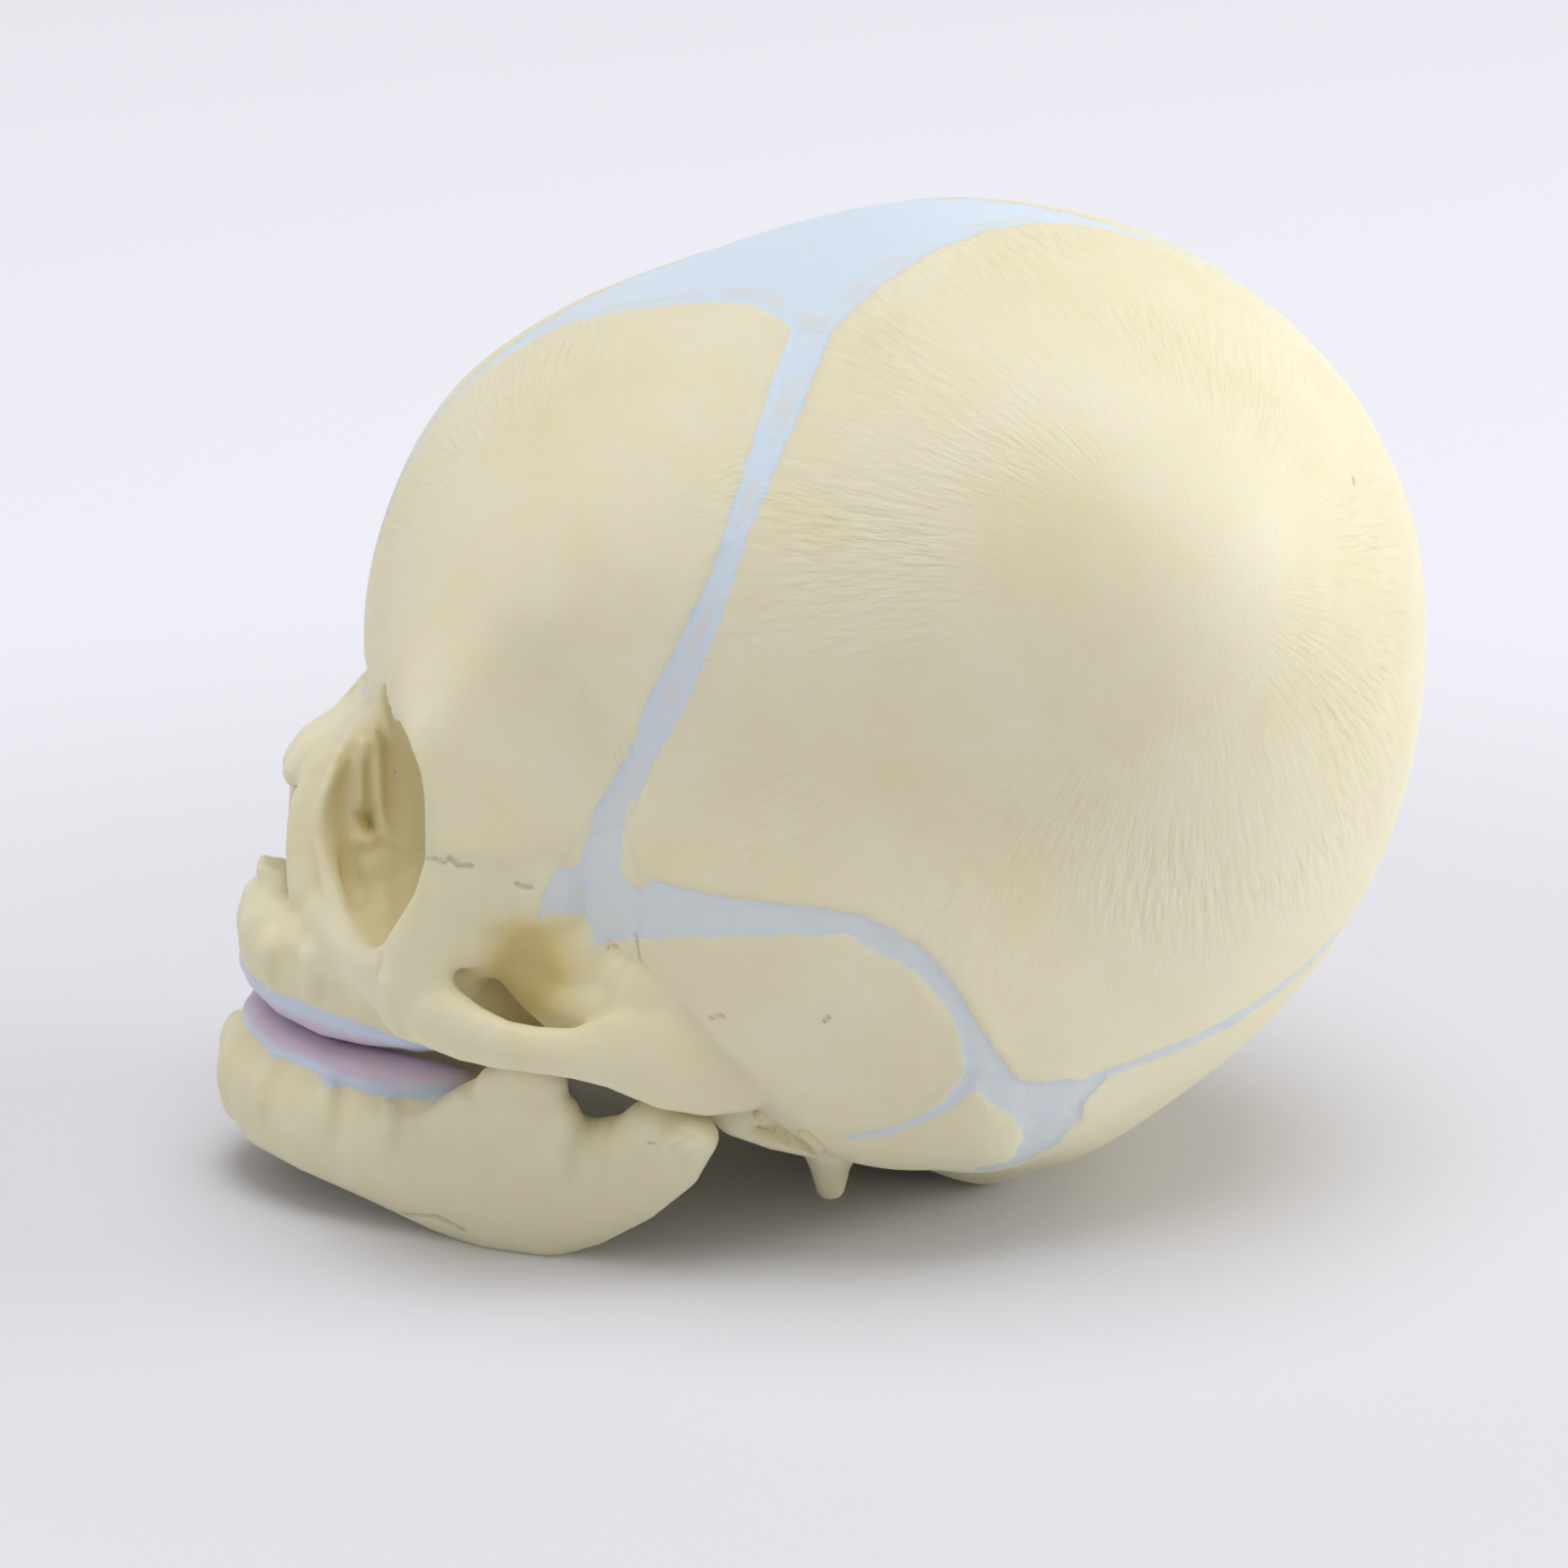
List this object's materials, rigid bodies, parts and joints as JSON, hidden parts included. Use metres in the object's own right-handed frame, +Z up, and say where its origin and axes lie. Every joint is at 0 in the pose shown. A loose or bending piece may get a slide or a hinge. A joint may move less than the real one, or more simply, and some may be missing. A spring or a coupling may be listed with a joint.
{
  "type": "infant skull model",
  "caption": "Life-size infant skull teaching model with painted sutures and fontanelles, gum pads and a hinged lower jaw, standing on its jaw angles and occiput.",
  "frame": {"origin": "on the table under the middle of the bounding box", "axes": "the face looks along -Y, the skull's own left is +X, +Z is up from the table"},
  "size_m": [0.0906, 0.13, 0.104],
  "materials": {
    "bone": "satin cast PVC",
    "face_bone": "satin cast PVC",
    "membrane": "pale blue paint on PVC",
    "gum": "lilac paint on PVC",
    "pin": "drawn rod"
  },
  "bodies": {
    "cranium": {"anterior_fontanelle": "membrane", "coronal_suture_left": "membrane", "coronal_suture_right": "membrane", "ethmoid_left": "face_bone", "ethmoid_right": "face_bone", "frontal_left": "bone", "frontal_right": "bone", "jaw_pin_left": "pin", "jaw_pin_right": "pin", "lambdoid_suture_left": "membrane", "lambdoid_suture_right": "membrane", "mastoid_fontanelle_left": "membrane", "mastoid_fontanelle_right": "membrane", "maxilla_left": "face_bone", "maxilla_right": "face_bone", "metopic_suture": "membrane", "nasal_left": "face_bone", "nasal_right": "face_bone", "occipital_basilar": "bone", "occipital_lateral_left": "bone", "occipital_lateral_right": "bone", "occipital_squama": "bone", "parietal_left": "bone", "parietal_right": "bone", "petromastoid_left": "bone", "petromastoid_right": "bone", "posterior_fontanelle": "membrane", "sagittal_suture": "membrane", "sphenoid_body": "bone", "sphenoid_wing_left": "face_bone", "sphenoid_wing_right": "face_bone", "sphenoidal_fontanelle_left": "membrane", "sphenoidal_fontanelle_right": "membrane", "squamosal_suture_left": "membrane", "squamosal_suture_right": "membrane", "temporal_squama_left": "bone", "temporal_squama_right": "bone", "tympanic_ring_left": "face_bone", "tympanic_ring_right": "face_bone", "upper_gum": "gum", "vomer": "face_bone", "zygomatic_left": "face_bone", "zygomatic_right": "face_bone"},
    "jaw": {"mandible": "face_bone", "lower_gum": "gum"}
  },
  "joints": [
    {"name": "jaw_hinge", "type": "hinge", "parent": "cranium", "child": "jaw", "pos_m": [0, -0.01597, 0.0153], "axis": [1, 0, 0], "range_deg": [0, 22]}
  ]
}
